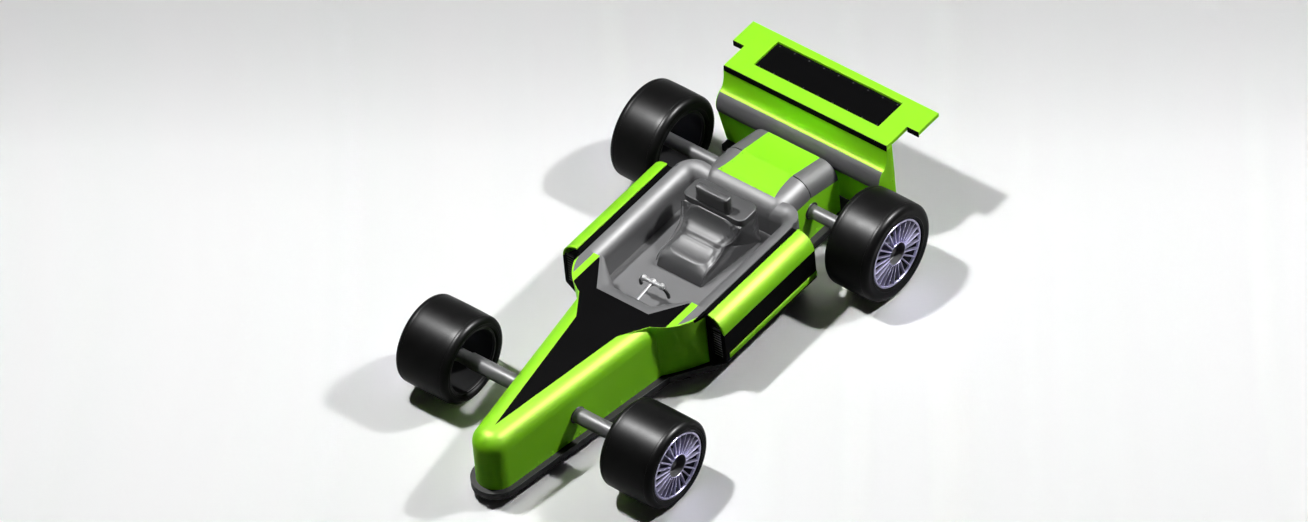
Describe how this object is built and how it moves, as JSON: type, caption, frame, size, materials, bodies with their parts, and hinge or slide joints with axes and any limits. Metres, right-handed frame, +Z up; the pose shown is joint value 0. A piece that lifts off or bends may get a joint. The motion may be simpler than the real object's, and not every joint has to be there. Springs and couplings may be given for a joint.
{
  "type": "open wheel racing car",
  "caption": "Single-seat open wheel racing car with a wedge nose, open cockpit, side pods, covered rear engine and a full-width tail wing; wheels spin and the front pair steers.",
  "frame": {"origin": "on the ground, midway along the length and on the centre line", "axes": "+X to the car's left, +Y to the tail (nose towards -Y), +Z up"},
  "size_m": [2.132, 3.9158, 0.794],
  "materials": {
    "floor_black": "black composite floor",
    "body_green": "gloss lime green paint",
    "deck_black": "satin black composite",
    "tub_grey": "satin grey paint",
    "seat_grey": "grey moulded seat",
    "column_steel": "bright plated steel",
    "grip_rubber": "black grips on a bright bar",
    "axle_metal": "satin grey steel",
    "engine_metal": "cast alloy",
    "grille_black": "black slats",
    "tyre": "black slick tyre",
    "rim_alloy": "pale grey alloy"
  },
  "bodies": {
    "chassis": {"floor_plate": "floor_black", "nose_body": "body_green", "deck_panel": "deck_black", "tub": "tub_grey", "seat": "seat_grey", "headrest": "seat_grey", "steering_column": "column_steel", "pedals": "axle_metal", "shoulder_hoop": "tub_grey", "shoulder_rear": "tub_grey", "engine_cover": "body_green", "engine_cover_top": "body_green", "engine_block": "engine_metal", "wing_plate": "body_green", "wing_insert": "deck_black", "tail_panel": "body_green", "tail_roll": "tub_grey", "tail_cove": "body_green", "front_axle": "axle_metal", "rear_axle": "axle_metal", "flare_left": "body_green", "sidepod_left": "deck_black", "sidepod_cover_left": "body_green", "sill_strip_left": "body_green", "radiator_grille_left": "grille_black", "hub_nut_rear_left": "axle_metal", "flare_right": "body_green", "sidepod_right": "deck_black", "sidepod_cover_right": "body_green", "sill_strip_right": "body_green", "radiator_grille_right": "grille_black", "hub_nut_rear_right": "axle_metal"},
    "knuckle_left": {"knuckle_left": "axle_metal", "hub_nut_front_left": "axle_metal"},
    "knuckle_right": {"knuckle_right": "axle_metal", "hub_nut_front_right": "axle_metal"},
    "steering_wheel": {"steering_wheel": "grip_rubber"},
    "wheel_front_left": {"tyre_front_left": "tyre", "rim_front_left": "rim_alloy"},
    "wheel_front_right": {"tyre_front_right": "tyre", "rim_front_right": "rim_alloy"},
    "wheel_rear_left": {"tyre_rear_left": "tyre", "rim_rear_left": "rim_alloy"},
    "wheel_rear_right": {"tyre_rear_right": "tyre", "rim_rear_right": "rim_alloy"}
  },
  "joints": [
    {"name": "front_left_steer", "type": "hinge", "parent": "chassis", "child": "knuckle_left", "pos_m": [0.842, -1.201, 0.316], "axis": [0, 0, 1], "range_deg": [-18, 18]},
    {"name": "front_right_steer", "type": "hinge", "parent": "chassis", "child": "knuckle_right", "pos_m": [-0.842, -1.201, 0.316], "axis": [0, 0, 1], "range_deg": [-18, 18]},
    {"name": "steering_wheel_turn", "type": "hinge", "parent": "chassis", "child": "steering_wheel", "pos_m": [0, -0.115, 0.503], "axis": [0, 0.9848, 0.1736], "range_deg": [-180, 180]},
    {"name": "front_left_spin", "type": "hinge", "parent": "knuckle_left", "child": "wheel_front_left", "pos_m": [0.842, -1.201, 0.316], "axis": [1, 0, 0], "continuous": true},
    {"name": "front_right_spin", "type": "hinge", "parent": "knuckle_right", "child": "wheel_front_right", "pos_m": [-0.842, -1.201, 0.316], "axis": [1, 0, 0], "continuous": true},
    {"name": "rear_left_spin", "type": "hinge", "parent": "chassis", "child": "wheel_rear_left", "pos_m": [0.888, 1.099, 0.352], "axis": [1, 0, 0], "continuous": true},
    {"name": "rear_right_spin", "type": "hinge", "parent": "chassis", "child": "wheel_rear_right", "pos_m": [-0.888, 1.099, 0.352], "axis": [1, 0, 0], "continuous": true}
  ],
  "couplings": [
    {"joint": "front_right_steer", "follows": "front_left_steer", "ratio": 1},
    {"joint": "steering_wheel_turn", "follows": "front_left_steer", "ratio": 10}
  ]
}
